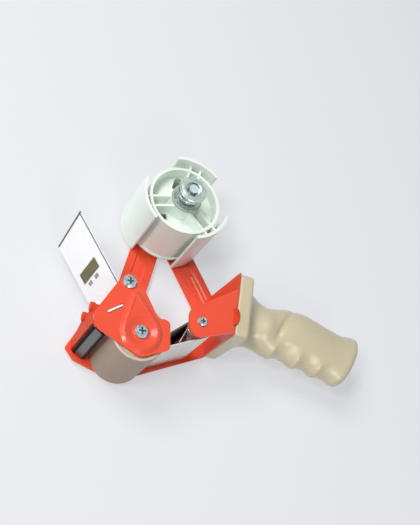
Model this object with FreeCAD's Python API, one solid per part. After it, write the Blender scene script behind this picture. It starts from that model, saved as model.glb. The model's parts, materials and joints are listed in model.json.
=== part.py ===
import FreeCAD, Part
import math
import os

from FreeCAD import Vector

# Packing tape dispenser, lying on its far side plate.
# Millimetres. Z is the axis of the tape hub and points to the loading side.
# X points to the handle, Y points from the roller to the hub.
# The origin is on the hub axis, at the level that the dispenser lies on.

# Sheet metal of the frame
PLATE_T = 1.6
HEAD_H = 3.5
FRAME_W = 57.8
BEND_R = 2.4
STAMP_DEPTH = 1.1
STAMP_SLOPE = 1.2

# Running and seating clearances
RUN_GAP = 0.06
FIT_GAP = 0.05
SIDE_GAP = 0.4
HUB_END_GAP = 0.3
ROLLER_BORE_GAP = 0.6
FOOT_INSET = 0.3
TINY = 1e-5
FULL_TURN = 360.0

# Levels that follow from the sheets
FAR_OUT = HEAD_H
FAR_IN = FAR_OUT + PLATE_T
NEAR_IN = FAR_IN + FRAME_W
NEAR_OUT = NEAR_IN + PLATE_T
MID_Z = (FAR_IN + NEAR_IN) / 2

# Axes in the plane of the plates
HUB_AT = (0.0, 0.0)
ROLLER_AT = (-35.6, -125.2)
POST_AT = (-46.4, -87.0)
PIVOT_AT = (13.3, -108.7)
WALL_TOP = (49.0, -56.5)
WALL_BOTTOM = (41.5, -113.0)

# Tape hub for a 76 mm core
WING_R = 38.0
WING_T = 2.6
WING_LEN = 58.0
WING_SPAN = 61.0
WING_START = 74.0
WING_COUNT = 3
DRUM_R = 31.0
DRUM_T = 2.5
DRUM_LEN = 47.9
DRUM_LIFT = 5.4
LOCK_NUT_H = DRUM_LIFT - HUB_END_GAP
LIP_R = 32.5
LIP_T = 1.8
RIB_T = 1.9
RIB_PITCH = 9.0
RIB_DROP = 0.4
WEB_T = 2.2
WEB_DEPTH = 14.0
WEB_WINDOW = 5.5
BOSS_R = 12.5
BOSS_OVER = 2.0
BUSH_R = 6.5
WING_LIFT = 1.4
WING_EDGE = 0.9

# Hub axle and its friction pack
AXLE_R = 4.0
AXLE_HEAD_R = 7.0
AXLE_END = 77.6
FIBRE_R = 13.0
FIBRE_T = 1.6
WASHER_R = 12.0
WASHER_T = 1.5
SPRING_R = 8.2
SPRING_WIRE = 1.5
SPRING_TURNS = 3.5
SPRING_LEN = 8.2
TENSION_R = 11.8
TENSION_H = 4.4
TENSION_WELL_R = 6.4
TENSION_WELL = 2.6
TENSION_EDGE = 0.6

# Roller
ROLLER_R = 21.7
RUBBER_T = 3.0
ROLLER_END_GAP = 0.9
ROLLER_RIM = 2.4
ROLLER_EDGE = 0.6
ROLLER_WEB = 3.0
ROLLER_BOSS_R = 9.0
ROLLER_AXLE_R = 4.0
ROLLER_BUSH_R = 6.0
ROLLER_BUSH_LEN = 9.0
SPOKE_COUNT = 6
SPOKE_T = 1.8

# Screws
SCREW_R = 2.5
SCREW_DEPTH = 9.0
PAN_R = 5.4
PAN_H = 2.8
PAN_RECESS = 1.3
PAN_SLOPE = 0.4
PAN_CROSS = 0.5
SMALL_PAN_R = 3.9
SMALL_PAN_H = 2.2

# Spacer post and pivot pin
POST_R = 4.6
PIN_R = 4.2

# Corners of the side plates: x, y and corner radius
ARM_APEX = (-8.7, 46.8, 17.6)
ARM_ROOT = (-37.5, -63.0, 12.0)
CROTCH = (0.0, -17.3, 4.0)
KNEE = (29.6, -70.0, 12.0)
HEEL = (31.5, -92.0, 8.0)
# The same, measured from the roller axis
BROW = (-29.9, 22.7, 15.0)
TIP = (-41.4, 2.2, 2.5)
CHIN = (-34.0, -7.3, 6.0)
BELLY = (0.4, -19.8, 9.0)
CROOK = (11.6, 16.2, 8.0)
SHOULDER = (13.2, 13.0, 5.0)
LOBE_TOP = (22.8, 13.2, 6.0)
LOBE_LOW = (23.2, -10.4, 4.0)
NOSE = (-40.9, 1.9, 11.0)
# The same, measured from the spacer post
LOBE_APEX = (1.5, 15.9, 8.0)
# The same, measured from the pivot pin
TAB_BACK = (-10.9, 8.4, 9.0)
TAB_LOW = (-10.7, -15.6, 9.0)
TAB_TOP_DROP = 17.5
WALL_CORNER_R = 3.0
WALL_SLANT = 3.5
TAB_CORNER_R = 1.0

# Stamped channels of the two arms, measured along each arm from the hub axis
LEFT_LEAN = 14.7
LEFT_OFFSET = -8.0
RIGHT_LEAN = 28.8
RIGHT_OFFSET = 3.4
CHANNEL_W = 11.5
CHANNEL_FROM = 21.0
CHANNEL_TO = 58.0

# Teardrop and dish pressed into the front side plate
DROP_R = 15.2
DROP_END_R = 3.4
DROP_END = (-5.2, 27.0)
DISH_R = 11.8
DISH_FLAT_R = 7.6
BEAD_H = 1.7

# Slot for the foot of the wiper flap, measured from the roller axis
SLOT_MID = (-20.3, 15.3)
SLOT_LEN = 14.6
SLOT_W = 2.4
SLOT_TURN = 34.0

# Wiper flap
FLAP_T = 1.0
FLAP_LEN = 80.0
FLAP_SLANT = 1.5
FLAP_W = 52.0
FLAP_LEAN = 122.4
FLAP_SKEW = 2.5
FLAP_REACH = 5.6
FOOT_LEN = 13.0
FLAP_CORNER_R = 1.0

# Blade guard, measured from the roller axis
GUARD_T = 1.4
GUARD_TOP = (-35.6, 19.6)
GUARD_LOW = (-36.8, 1.2)
GUARD_RETURN = 6.0
GUARD_EAR = 7.0
GUARD_SHY = 2.9
LUG_R = 3.6
LUG_T = 3.2
LUG_AT = (51.5, 31.0)
GUARD_SLOPE_FROM = 26.0
GUARD_SLOPE_DROP = 8.5
GUARD_CORNER_R = 1.5

# Cutting blade
BLADE_T = 0.8
BLADE_LEG = 7.0
BLADE_REACH = 9.6
BLADE_HEADING = -39.0
BLADE_BELOW = 1.4
TOOTH_PITCH = 2.2
TOOTH_H = 1.6
BLADE_SCREWS_APART = 30.0
BLADE_SCREW_R = 1.5
BLADE_SCREW_HEAD_R = 2.8
BLADE_SCREW_HEAD_H = 1.5
BLADE_SCREW_RISE = 3.5

# Tape guide on the pivot pin, measured from the pin
GUIDE_T = 1.0
GUIDE_W = 52.0
GUIDE_FRONT = (-25.6, -22.0)
GUIDE_MID = (-8.0, -14.9)
GUIDE_REAR = (7.4, -8.6)
GUIDE_EAR_R = 6.6
NEAR_EAR_INSET = 8.0
TONGUE_T = 1.4
TONGUE_INSET = 3.6
TONGUE_BACK = (2.0, 6.3)
TONGUE_ROOT = (-4.6, 5.2)
TONGUE_MID = (-19.5, -6.2)
TONGUE_TIP = (-24.5, -13.0)
TONGUE_EYE_LEN = 3.0
GUIDE_SPRING_R = 5.6
GUIDE_SPRING_WIRE = 1.1
GUIDE_SPRING_LEN = 5.0
GUIDE_SPRING_TURNS = 3
SPRING_LEG_A = (-15.8, -16.9)
SPRING_LEG_B = (-6.3, -13.1)

# Handle
FLANGE_T = 12.4
FLANGE_EDGE = 2.0
FLANGE_CORNER_R = 3.0
FLANGE_DROP = 2.0
GRIP_LEAN = -14.0
GRIP_LEN = 103.0
GRIP_HALF_T = 15.6
GRIP_SINK = 3.5
ROOT_TOP = 26.0
ROOT_LOW = 25.0
ROOT_HALF_T = 24.0
FLARE_LEN = 16.0
NECK_AT = 21.0
NECK_TOP = 19.3
PALM_AT = 48.0
PALM_TOP = 27.0
WAIST_AT = 86.0
WAIST_TOP = 23.6
BUTT_TOP = 26.0
RIDGE_LOW = 21.3
RIDGE_AT = 31.0
FINGER_PITCH = 21.7
FINGER_DEPTH = 2.6
STATIONS_PER_FINGER = 4
STATIONS = 17
BUTT_SLANT = 9.5
BUTT_DOME = 9.0
BUTT_POWER = 2.6
BUTT_STATIONS = (0.25, 0.5, 0.7, 0.85, 0.95, 0.99)
RULED = True
WALL_SCREWS_APART_Z = 24.0
WALL_SCREWS_APART_Y = 16.0
WALL_SCREW_LEN = 9.0

# Share of a side that the arcs at its two ends may take
CORNER_ROOM = 0.48

# Wound wire: degrees between two joints, sides of the wire, and the sweep mode that mitres them
COIL_STEP = 24.0
WIRE_SIDES = 8
MITRED = 1


def moved(point, offset):
    """A corner given from another point, as absolute x, y and radius."""
    return (point[0] + offset[0], point[1] + offset[1]) + tuple(offset[2:])


def turned(point, degrees):
    """A point turned about the origin."""
    a = math.radians(degrees)
    x, y = point
    return (x * math.cos(a) - y * math.sin(a), x * math.sin(a) + y * math.cos(a))


def rounded_wire(corners, z):
    """A closed outline whose corners are arcs tangent to its sides."""
    arcs = []
    count = len(corners)
    for i in range(count):
        here = Vector(corners[i][0], corners[i][1], z)
        back = Vector(corners[i - 1][0], corners[i - 1][1], z) - here
        ahead_corner = corners[(i + 1) % count]
        ahead = Vector(ahead_corner[0], ahead_corner[1], z) - here
        half = back.getAngle(ahead) / 2
        room = CORNER_ROOM * min(back.Length, ahead.Length)
        reach = min(corners[i][2] / math.tan(half), room)
        radius = reach * math.tan(half)
        back.normalize()
        ahead.normalize()
        middle = back + ahead
        middle.normalize()
        centre = here + middle * (radius / math.sin(half))
        arcs.append((here + back * reach, centre - middle * radius, here + ahead * reach))
    edges = []
    for i in range(count):
        start, mid, end = arcs[i]
        edges.append(Part.Arc(start, mid, end).toShape())
        edges.append(Part.makeLine(end, arcs[(i + 1) % count][0]))
    return Part.Wire(edges)


def slab(corners, z, height):
    """A plate with a rounded outline."""
    return Part.Face(rounded_wire(corners, z)).extrude(Vector(0, 0, height))


def prism(points, z, height):
    """A plate with a sharp outline."""
    loop = [Vector(p[0], p[1], z) for p in points]
    return Part.Face(Part.makePolygon(loop + [loop[0]])).extrude(Vector(0, 0, height))


def rod(at, z, height, radius):
    return Part.makeCylinder(radius, height, Vector(at[0], at[1], z))


def tube(at, z, height, outer, inner):
    return rod(at, z, height, outer).cut(rod(at, z, height, inner))


def hexagon(at, z, height, radius):
    points = []
    for i in range(6):
        dx, dy = turned((radius, 0), 60 * i)
        points.append((at[0] + dx, at[1] + dy))
    return prism(points, z, height)


def belt_wire(first, first_r, second, second_r, z):
    """The outline of a belt round two circles."""
    dx = second[0] - first[0]
    dy = second[1] - first[1]
    length = math.hypot(dx, dy)
    heading = math.degrees(math.atan2(dy, dx))
    spread = math.degrees(math.acos((first_r - second_r) / length))

    def on(centre, radius, degrees):
        px, py = turned((radius, 0), degrees)
        return Vector(centre[0] + px, centre[1] + py, z)

    a = on(first, first_r, heading + spread)
    b = on(first, first_r, heading + 180)
    c = on(first, first_r, heading - spread)
    d = on(second, second_r, heading - spread)
    e = on(second, second_r, heading)
    f = on(second, second_r, heading + spread)
    edges = [Part.Arc(a, b, c).toShape(), Part.makeLine(c, d)]
    edges += [Part.Arc(d, e, f).toShape(), Part.makeLine(f, a)]
    return Part.Wire(edges)


def belt(first, first_r, second, second_r, z, height, slope=0.0):
    """A belt-shaped block whose sides may lean inwards."""
    low = belt_wire(first, first_r, second, second_r, z)
    if slope == 0:
        return Part.Face(low).extrude(Vector(0, 0, height))
    high = belt_wire(first, first_r - slope, second, second_r - slope, z + height)
    return Part.makeLoft([low, high], True, True)


def fuse(shapes):
    result = shapes[0]
    for shape in shapes[1:]:
        result = result.fuse(shape)
    return result.removeSplitter()


def cut(shape, tools):
    for tool in tools:
        shape = shape.cut(tool)
    return shape


def save(name, shape):
    shape.exportStep("parts/" + name + ".step")
    print(name, "solids", len(shape.Solids), "valid", shape.isValid(), "mm3", round(shape.Volume, 1))


def pan_screw(at, seat, up, shank, head_r, head_h, shank_r):
    """A pan head screw; up is 1 when the head points to +Z."""
    head = rod(at, seat, head_h, head_r)
    rim = [e for e in head.Edges if abs(e.BoundBox.ZMin - seat - head_h) < TINY]
    rim = [e for e in rim if e.BoundBox.ZLength < TINY]
    head = head.makeChamfer(PAN_SLOPE * head_h, rim)
    slot_r = PAN_CROSS * head_r
    for turn in (0, 90):
        bar = Part.makeBox(2 * slot_r, PAN_RECESS, PAN_RECESS)
        bar.translate(Vector(at[0] - slot_r, at[1] - PAN_RECESS / 2, seat + head_h - PAN_RECESS))
        bar.rotate(Vector(at[0], at[1], 0), Vector(0, 0, 1), turn)
        head = head.cut(bar)
    screw = fuse([head, rod(at, seat - shank, shank, shank_r)])
    if up < 0:
        screw.rotate(Vector(at[0], at[1], seat), Vector(1, 0, 0), 180)
    return screw


# Directions of the rear wall
WALL_RUN = math.hypot(WALL_BOTTOM[0] - WALL_TOP[0], WALL_BOTTOM[1] - WALL_TOP[1])
DOWN = ((WALL_BOTTOM[0] - WALL_TOP[0]) / WALL_RUN, (WALL_BOTTOM[1] - WALL_TOP[1]) / WALL_RUN)
OUT = (-DOWN[1], DOWN[0])


def wall_point(down, out):
    """A point given along the rear wall and out of its rear face."""
    x = WALL_TOP[0] + DOWN[0] * down + OUT[0] * out
    y = WALL_TOP[1] + DOWN[1] * down + OUT[1] * out
    return (x, y)


def wall_screw_places():
    """Middle of each handle screw: distance down the wall, and Z."""
    places = []
    for side in (-1, 1):
        for row in (-1, 1):
            down = WALL_RUN / 2 + side * WALL_SCREWS_APART_Y / 2
            places.append((down, MID_Z + row * WALL_SCREWS_APART_Z / 2))
    return places


def stood(shape, origin, x_axis, y_axis):
    """A piece drawn in XY, set up so that its X and Y run along two given directions."""
    x = Vector(*x_axis)
    y = Vector(*y_axis)
    z = x.cross(y)
    frame = FreeCAD.Matrix()
    frame.A11, frame.A12, frame.A13, frame.A14 = x.x, y.x, z.x, origin[0]
    frame.A21, frame.A22, frame.A23, frame.A24 = x.y, y.y, z.y, origin[1]
    frame.A31, frame.A32, frame.A33, frame.A34 = x.z, y.z, z.z, origin[2]
    shape.Placement = FreeCAD.Placement(frame).multiply(shape.Placement)
    return shape


def stood_on_wall(shape):
    """A piece drawn as Z and distance down the wall, set on the rear face of the wall."""
    return stood(shape, WALL_TOP + (0,), (0, 0, 1), DOWN + (0,))


def across_wall(down, z, out_from, out_to, radius):
    """A round bar square to the rear wall."""
    x, y = wall_point(down, out_from)
    return Part.makeCylinder(radius, out_to - out_from, Vector(x, y, z), Vector(OUT[0], OUT[1], 0))


def flap_slot(z, height):
    """The slot in a side plate that holds the foot of the flap."""
    half = (SLOT_LEN - SLOT_W) / 2
    mid = moved(ROLLER_AT, SLOT_MID)
    dx, dy = turned((half, 0), SLOT_TURN)
    ends = ((mid[0] - dx, mid[1] - dy), (mid[0] + dx, mid[1] + dy))
    return belt(ends[0], SLOT_W / 2, ends[1], SLOT_W / 2 - TINY, z, height)


def arm_channel(lean, offset, z):
    """A long stamping pressed down into an arm; lean is positive towards the handle."""
    ends = [turned((offset, -along), lean) for along in (CHANNEL_FROM, CHANNEL_TO)]
    radius = CHANNEL_W / 2
    return belt(ends[0], radius, ends[1], radius - TINY, z, -STAMP_DEPTH, STAMP_SLOPE)


def outer_bends(frame):
    """The two long outer edges where the rear wall meets the sheets beside it."""
    found = []
    for edge in frame.Edges:
        box = edge.BoundBox
        at_end = min(abs(box.ZMin - FAR_OUT), abs(box.ZMin - NEAR_OUT)) < TINY
        if box.ZLength > TINY or not at_end or edge.Length < WALL_RUN / 2:
            continue
        mid = edge.CenterOfMass
        away = (mid.x - WALL_TOP[0]) * OUT[0] + (mid.y - WALL_TOP[1]) * OUT[1]
        if abs(away) < TINY:
            found.append(edge)
    return found


def side_frame():
    """Far plate with its two arms, the rear wall and the near tab, bent from one sheet."""
    outline = [ARM_APEX, WALL_TOP + (WALL_CORNER_R,), WALL_BOTTOM + (WALL_CORNER_R,)]
    outline += [moved(ROLLER_AT, corner) for corner in (BELLY, CHIN, TIP, BROW)]
    outline.append(ARM_ROOT)
    window = [CROTCH, moved(ROLLER_AT, CROOK), HEEL, KNEE]
    sheet = slab(outline, FAR_OUT, PLATE_T).cut(slab(window, FAR_OUT, PLATE_T))
    for lean, offset in ((-LEFT_LEAN, LEFT_OFFSET), (RIGHT_LEAN, RIGHT_OFFSET)):
        sheet = sheet.fuse(arm_channel(lean, offset, FAR_OUT))
        sheet = sheet.cut(arm_channel(lean, offset, FAR_IN))
    wall = [(FAR_OUT, 0), (NEAR_OUT, WALL_SLANT), (NEAR_OUT, WALL_RUN), (FAR_OUT, WALL_RUN)]
    tab = [wall_point(TAB_TOP_DROP, 0) + (TAB_CORNER_R,)]
    tab += [moved(PIVOT_AT, TAB_BACK), moved(PIVOT_AT, TAB_LOW)]
    tab.append(wall_point(WALL_RUN, 0) + (TAB_CORNER_R,))
    frame = fuse([sheet, stood_on_wall(prism(wall, 0, -PLATE_T)), slab(tab, NEAR_IN, PLATE_T)])
    frame = frame.makeFillet(BEND_R, outer_bends(frame))
    holes = [rod(HUB_AT, 0, NEAR_OUT, AXLE_R + FIT_GAP)]
    for at in (ROLLER_AT, POST_AT, PIVOT_AT):
        holes.append(rod(at, 0, NEAR_OUT + PLATE_T, SCREW_R + FIT_GAP))
    for down, z in wall_screw_places():
        holes.append(across_wall(down, z, -2 * PLATE_T, PLATE_T, SCREW_R + FIT_GAP))
    holes.append(flap_slot(FAR_OUT - PLATE_T, 3 * PLATE_T))
    return cut(frame, holes)


def front_side_plate():
    """Near plate with the teardrop and the dish round the roller screw."""
    outline = [moved(POST_AT, LOBE_APEX)]
    outline += [moved(ROLLER_AT, corner) for corner in (SHOULDER, LOBE_TOP, LOBE_LOW, BELLY, NOSE)]
    plate = slab(outline, NEAR_IN, PLATE_T)
    end = moved(ROLLER_AT, DROP_END)
    for z, joins in ((NEAR_OUT, True), (NEAR_IN, False)):
        bead = belt(ROLLER_AT, DROP_R, end, DROP_END_R, z, BEAD_H, STAMP_SLOPE)
        dish = Part.makeCone(DISH_FLAT_R, DISH_R, BEAD_H, Vector(ROLLER_AT[0], ROLLER_AT[1], z))
        bead = bead.cut(dish)
        plate = plate.fuse(bead) if joins else plate.cut(bead)
    holes = [rod(at, NEAR_IN, PLATE_T, SCREW_R + FIT_GAP) for at in (ROLLER_AT, POST_AT)]
    holes.append(flap_slot(NEAR_IN - PLATE_T, 3 * PLATE_T))
    return cut(plate, holes)


def drilled_bar(at, radius):
    """A bar between the plates with a tapped hole at each end."""
    bar = rod(at, FAR_IN, FRAME_W, radius)
    depth = SCREW_DEPTH
    holes = [rod(at, FAR_IN, depth, SCREW_R + FIT_GAP)]
    holes.append(rod(at, NEAR_IN - depth, depth, SCREW_R + FIT_GAP))
    return cut(bar, holes)


def end_screws(at, head_r, head_h, seat):
    """The two screws of a bar: a raised head on the near side, a flat one below."""
    near = pan_screw(at, seat, 1, seat - NEAR_IN + SCREW_DEPTH - 1, head_r, head_h, SCREW_R)
    far = fuse([rod(at, 0, HEAD_H, head_r), rod(at, 0, FAR_IN + SCREW_DEPTH - 1, SCREW_R)])
    return Part.Compound([near, far])


def hub_drum():
    """Drum, spokes and three spring wings, moulded in one piece."""
    low = FAR_IN + DRUM_LIFT
    high = low + DRUM_LEN
    wing_low = FAR_IN + WING_LIFT
    drum = tube(HUB_AT, low, DRUM_LEN, DRUM_R, DRUM_R - DRUM_T)
    lip = tube(HUB_AT, low, LIP_T, LIP_R, DRUM_R - DRUM_T)
    web = rod(HUB_AT, high - WEB_DEPTH, WEB_T, DRUM_R - DRUM_T / 2)
    boss = rod(HUB_AT, low, DRUM_LEN + BOSS_OVER, BOSS_R)
    hub = fuse([drum, lip, web, boss])
    far = 2 * WING_R
    for i in range(WING_COUNT):
        turn = WING_START + FULL_TURN * i / WING_COUNT
        arc = tube(HUB_AT, wing_low, WING_LEN, WING_R, WING_R - WING_T)
        half = math.radians(WING_SPAN / 2)
        wedge = prism([(0, 0), (far, -far * math.tan(half)), (far, far * math.tan(half))], wing_low, WING_LEN)
        wing = arc.common(wedge)
        rim = [e for e in wing.Edges if e.BoundBox.ZLength > WING_LEN - TINY]
        wing = wing.makeChamfer(WING_EDGE, rim)
        for side in (-1, 1):
            y = side * RIB_PITCH / 2
            reach = math.sqrt((WING_R - WING_T / 2) ** 2 - y ** 2)
            rib = Part.makeBox(reach, RIB_T, DRUM_LEN - 2 * RIB_DROP)
            rib.translate(Vector(0, y - RIB_T / 2, low + RIB_DROP))
            wing = wing.fuse(rib)
        window = Part.makeBox(DRUM_R - DRUM_T - BOSS_R - WEB_WINDOW / 2, WEB_WINDOW, WEB_T)
        window.translate(Vector(BOSS_R + WEB_WINDOW / 4, RIB_PITCH / 2 + RIB_T, high - WEB_DEPTH))
        for shape in (wing, window):
            shape.rotate(Vector(0, 0, 0), Vector(0, 0, 1), turn)
        hub = hub.fuse(wing).cut(window)
    hub = hub.cut(rod(HUB_AT, 0, AXLE_END, BUSH_R + FIT_GAP))
    return hub.removeSplitter()


def hub_bush():
    low = FAR_IN + DRUM_LIFT
    return tube(HUB_AT, low, DRUM_LEN + BOSS_OVER, BUSH_R, AXLE_R + RUN_GAP)


def hub_axle():
    """Bolt from below the far plate to the tension nut."""
    head = hexagon(HUB_AT, 0, HEAD_H, AXLE_HEAD_R)
    return fuse([head, rod(HUB_AT, 0, AXLE_END, AXLE_R)])


# Levels of the friction pack on the hub axle
FIBRE_Z = FAR_IN + DRUM_LIFT + DRUM_LEN + BOSS_OVER + HUB_END_GAP
WASHER_Z = FIBRE_Z + FIBRE_T
SPRING_Z = WASHER_Z + WASHER_T
TENSION_Z = SPRING_Z + SPRING_LEN


def lock_nut():
    nut = hexagon(HUB_AT, FAR_IN, LOCK_NUT_H, AXLE_HEAD_R)
    return nut.cut(rod(HUB_AT, FAR_IN, LOCK_NUT_H, AXLE_R + FIT_GAP))


def washer(z, height, radius):
    return tube(HUB_AT, z, height, radius, AXLE_R + FIT_GAP)


def helix_points(at, z, rise, radius, start, sweep):
    """Points on a helix about Z, from a start angle through a sweep."""
    count = int(sweep / COIL_STEP)
    points = []
    for i in range(count + 1):
        share = i / count
        dx, dy = turned((radius, 0), start + sweep * share)
        points.append(Vector(at[0] + dx, at[1] + dy, z + rise * share))
    return points


def bent_wire(points, radius):
    """A round wire with mitred joints along a line of points."""
    heading = points[1] - points[0]
    across = heading.cross(Vector(0, 0, 1))
    across.normalize()
    spin = FreeCAD.Rotation(heading, FULL_TURN / WIRE_SIDES)
    corners = [points[0] + across * radius]
    for i in range(WIRE_SIDES - 1):
        across = spin.multVec(across)
        corners.append(points[0] + across * radius)
    section = Part.makePolygon(corners + [corners[0]])
    return Part.makePolygon(points).makePipeShell([section], True, False, MITRED)


def coil(at, z, height, radius, wire, turns):
    """A wire wound about Z, between the levels z and z + height."""
    points = helix_points(at, z + wire / 2, height - wire, radius, 0, FULL_TURN * turns)
    return bent_wire(points, wire / 2)


def tension_nut():
    """Round nut with sloping rims and a well round the end of the bolt."""
    nut = rod(HUB_AT, TENSION_Z, TENSION_H, TENSION_R)
    nut = nut.makeChamfer(TENSION_EDGE, [e for e in nut.Edges if e.BoundBox.ZLength < TINY])
    nut = nut.cut(rod(HUB_AT, TENSION_Z + TENSION_H - TENSION_WELL, TENSION_WELL, TENSION_WELL_R))
    return nut.cut(rod(HUB_AT, TENSION_Z, TENSION_H, AXLE_R + RUN_GAP))


# Levels of the roller
ROLLER_Z = FAR_IN + ROLLER_END_GAP
ROLLER_LEN = FRAME_W - 2 * ROLLER_END_GAP


def roller_sleeve():
    inner = ROLLER_R - RUBBER_T
    sleeve = tube(ROLLER_AT, ROLLER_Z, ROLLER_LEN, ROLLER_R, inner)
    rims = [e for e in sleeve.Edges if e.BoundBox.XLength > ROLLER_R + inner]
    return sleeve.makeChamfer(ROLLER_EDGE, [e for e in rims if e.BoundBox.ZLength < TINY])


def roller_core():
    """Moulded core: rim tube, boss and spokes at both ends round a middle disc."""
    outer = ROLLER_R - RUBBER_T - FIT_GAP
    rim = tube(ROLLER_AT, ROLLER_Z, ROLLER_LEN, outer, outer - ROLLER_RIM)
    boss = rod(ROLLER_AT, ROLLER_Z, ROLLER_LEN, ROLLER_BOSS_R)
    disc = rod(ROLLER_AT, MID_Z - ROLLER_WEB / 2, ROLLER_WEB, outer - ROLLER_RIM / 2)
    parts = [rim, boss, disc]
    for i in range(SPOKE_COUNT):
        spoke = Part.makeBox(outer - ROLLER_RIM / 2, SPOKE_T, ROLLER_LEN - 2 * ROLLER_WEB)
        spoke.translate(Vector(0, -SPOKE_T / 2, 0))
        spoke.rotate(Vector(0, 0, 0), Vector(0, 0, 1), FULL_TURN * i / SPOKE_COUNT)
        spoke.translate(Vector(ROLLER_AT[0], ROLLER_AT[1], ROLLER_Z + ROLLER_WEB))
        parts.append(spoke)
    core = fuse(parts)
    holes = [rod(ROLLER_AT, ROLLER_Z, ROLLER_LEN, ROLLER_AXLE_R + ROLLER_BORE_GAP)]
    for z in (ROLLER_Z, ROLLER_Z + ROLLER_LEN - ROLLER_BUSH_LEN):
        holes.append(rod(ROLLER_AT, z, ROLLER_BUSH_LEN, ROLLER_BUSH_R + FIT_GAP))
    return cut(core, holes)


def roller_bushes():
    bushes = []
    for z in (ROLLER_Z, ROLLER_Z + ROLLER_LEN - ROLLER_BUSH_LEN):
        bushes.append(tube(ROLLER_AT, z, ROLLER_BUSH_LEN, ROLLER_BUSH_R, ROLLER_AXLE_R + RUN_GAP))
    return Part.Compound(bushes)


FOOT_MID = moved(ROLLER_AT, SLOT_MID)


def foot_point(along, z):
    """A point in the middle plane of the foot of the flap."""
    dx, dy = turned((along, 0), SLOT_TURN)
    return Vector(FOOT_MID[0] + dx, FOOT_MID[1] + dy, z)


def wiper_flap():
    """A sheet whose foot sits in the slots and whose leaf leans over the blade."""
    half = FOOT_LEN / 2
    low = MID_Z - FLAP_W / 2
    high = MID_Z + FLAP_W / 2
    fold = half + FLAP_REACH
    thick = FLAP_T / 2
    across = Vector(*turned((0, FLAP_T), SLOT_TURN), 0)
    tabs = [foot_point(-half, FAR_OUT + FOOT_INSET), foot_point(half, FAR_OUT + FOOT_INSET)]
    tabs += [foot_point(half, NEAR_OUT - FOOT_INSET), foot_point(-half, NEAR_OUT - FOOT_INSET)]
    middle = [foot_point(0, low), foot_point(fold - FLAP_SKEW + thick, low)]
    middle += [foot_point(fold + FLAP_SKEW + thick, high), foot_point(0, high)]
    parts = []
    for loop in (tabs, middle):
        loop = [point - across / 2 for point in loop]
        parts.append(Part.Face(Part.makePolygon(loop + [loop[0]])).extrude(across))
    lean = Vector(*turned((1, 0), FLAP_LEAN), 0)
    roots = [foot_point(fold - FLAP_SKEW, low), foot_point(fold + FLAP_SKEW, high)]
    normal = (roots[1] - roots[0]).cross(lean)
    normal.normalize()
    loop = [roots[0] - lean * thick, roots[1] - lean * thick]
    loop += [roots[1] + lean * (FLAP_LEN + FLAP_SLANT), roots[0] + lean * (FLAP_LEN - FLAP_SLANT)]
    loop = [point - normal * thick for point in loop]
    leaf = Part.Face(Part.makePolygon(loop + [loop[0]])).extrude(normal * FLAP_T)
    tip = [e for e in leaf.Edges if e.Length < 2 * FLAP_T]
    tip = [e for e in tip if (e.CenterOfMass - roots[0]).dot(lean) > FLAP_LEN / 2]
    parts.append(leaf.makeFillet(FLAP_CORNER_R, tip))
    return fuse(parts)


GUARD_RUN = math.hypot(GUARD_LOW[0] - GUARD_TOP[0], GUARD_LOW[1] - GUARD_TOP[1])
GUARD_DOWN = ((GUARD_LOW[0] - GUARD_TOP[0]) / GUARD_RUN, (GUARD_LOW[1] - GUARD_TOP[1]) / GUARD_RUN)
GUARD_OUT = (GUARD_DOWN[1], -GUARD_DOWN[0])


def guard_point(down, out):
    """A point on the blade guard: down its front face and out of it."""
    top = moved(ROLLER_AT, GUARD_TOP)
    x = top[0] + GUARD_DOWN[0] * down + GUARD_OUT[0] * out
    y = top[1] + GUARD_DOWN[1] * down + GUARD_OUT[1] * out
    return (x, y)


def folded(points, thickness, z, height):
    """A strip bent along a line of points, with its thickness to the right of the line."""
    other_side = []
    for i, point in enumerate(points):
        normals = []
        for a, b in ((i - 1, i), (i, i + 1)):
            if a >= 0 and b < len(points):
                dx = points[b][0] - points[a][0]
                dy = points[b][1] - points[a][1]
                run = math.hypot(dx, dy)
                normals.append((dy / run, -dx / run))
        nx = sum(n[0] for n in normals)
        ny = sum(n[1] for n in normals)
        step = thickness * len(normals) / (nx * nx + ny * ny)
        other_side.append((point[0] + nx * step, point[1] + ny * step))
    return prism(list(points) + other_side[::-1], z, height)


def blade_screw_line(out_from, length, radius):
    """Two round bars square to the blade guard."""
    x, y = guard_point(GUARD_RUN - BLADE_SCREW_RISE, out_from)
    bars = []
    for side in (-1, 1):
        at = Vector(x, y, MID_Z + side * BLADE_SCREWS_APART / 2)
        bars.append(Part.makeCylinder(radius, length, at, Vector(-GUARD_OUT[0], -GUARD_OUT[1], 0)))
    return bars


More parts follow.
